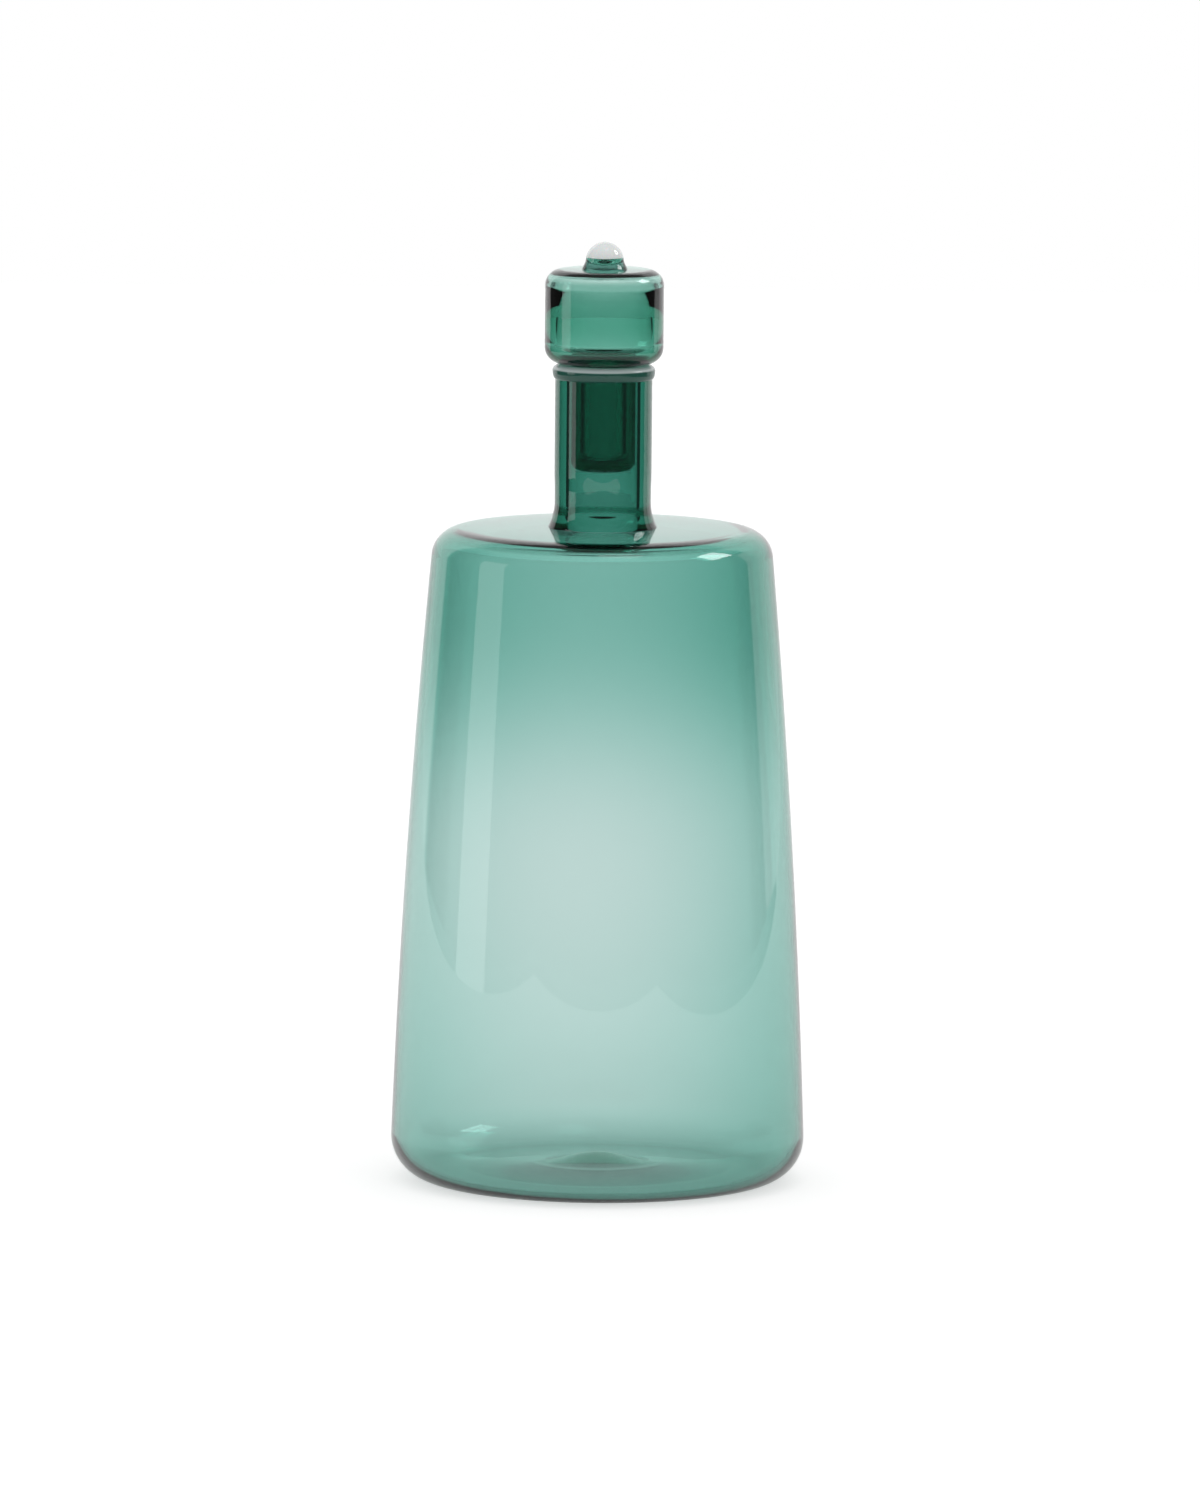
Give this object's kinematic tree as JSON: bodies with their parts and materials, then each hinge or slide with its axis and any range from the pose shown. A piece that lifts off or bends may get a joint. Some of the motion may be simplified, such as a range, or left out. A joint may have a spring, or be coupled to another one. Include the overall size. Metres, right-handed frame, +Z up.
{
  "type": "stoppered bottle",
  "caption": "Tapered green glass bottle with a thick neck tube and a hollow lift-out stopper topped by a white bead.",
  "frame": {"origin": "centre of the base's resting ring, on the plane that the bottle stands on", "axes": "+Z up along the axis of the bottle and its stopper; every piece is round, so X and Y only fix the picture's view, which looks along +Y"},
  "size_m": [0.1318, 0.1318, 0.3],
  "materials": {
    "blown_green_glass": "clear blown glass, polished by fire",
    "thick_green_glass": "clear thick glass, polished by fire",
    "stopper_green_glass": "clear thick glass, polished by fire",
    "opal_white_glass": "opaque white glass, glossy"
  },
  "bodies": {
    "bottle": {"bottle_body": "blown_green_glass", "neck_tube": "thick_green_glass", "lip_ring": "thick_green_glass"},
    "stopper": {"stopper_head": "stopper_green_glass", "stopper_plug": "stopper_green_glass", "finial_pip": "stopper_green_glass", "finial_bead": "opal_white_glass"}
  },
  "joints": [
    {"name": "stopper_lift", "type": "slide", "parent": "bottle", "child": "stopper", "axis": [0, 0, 1], "range_m": [0, 0.05]}
  ]
}
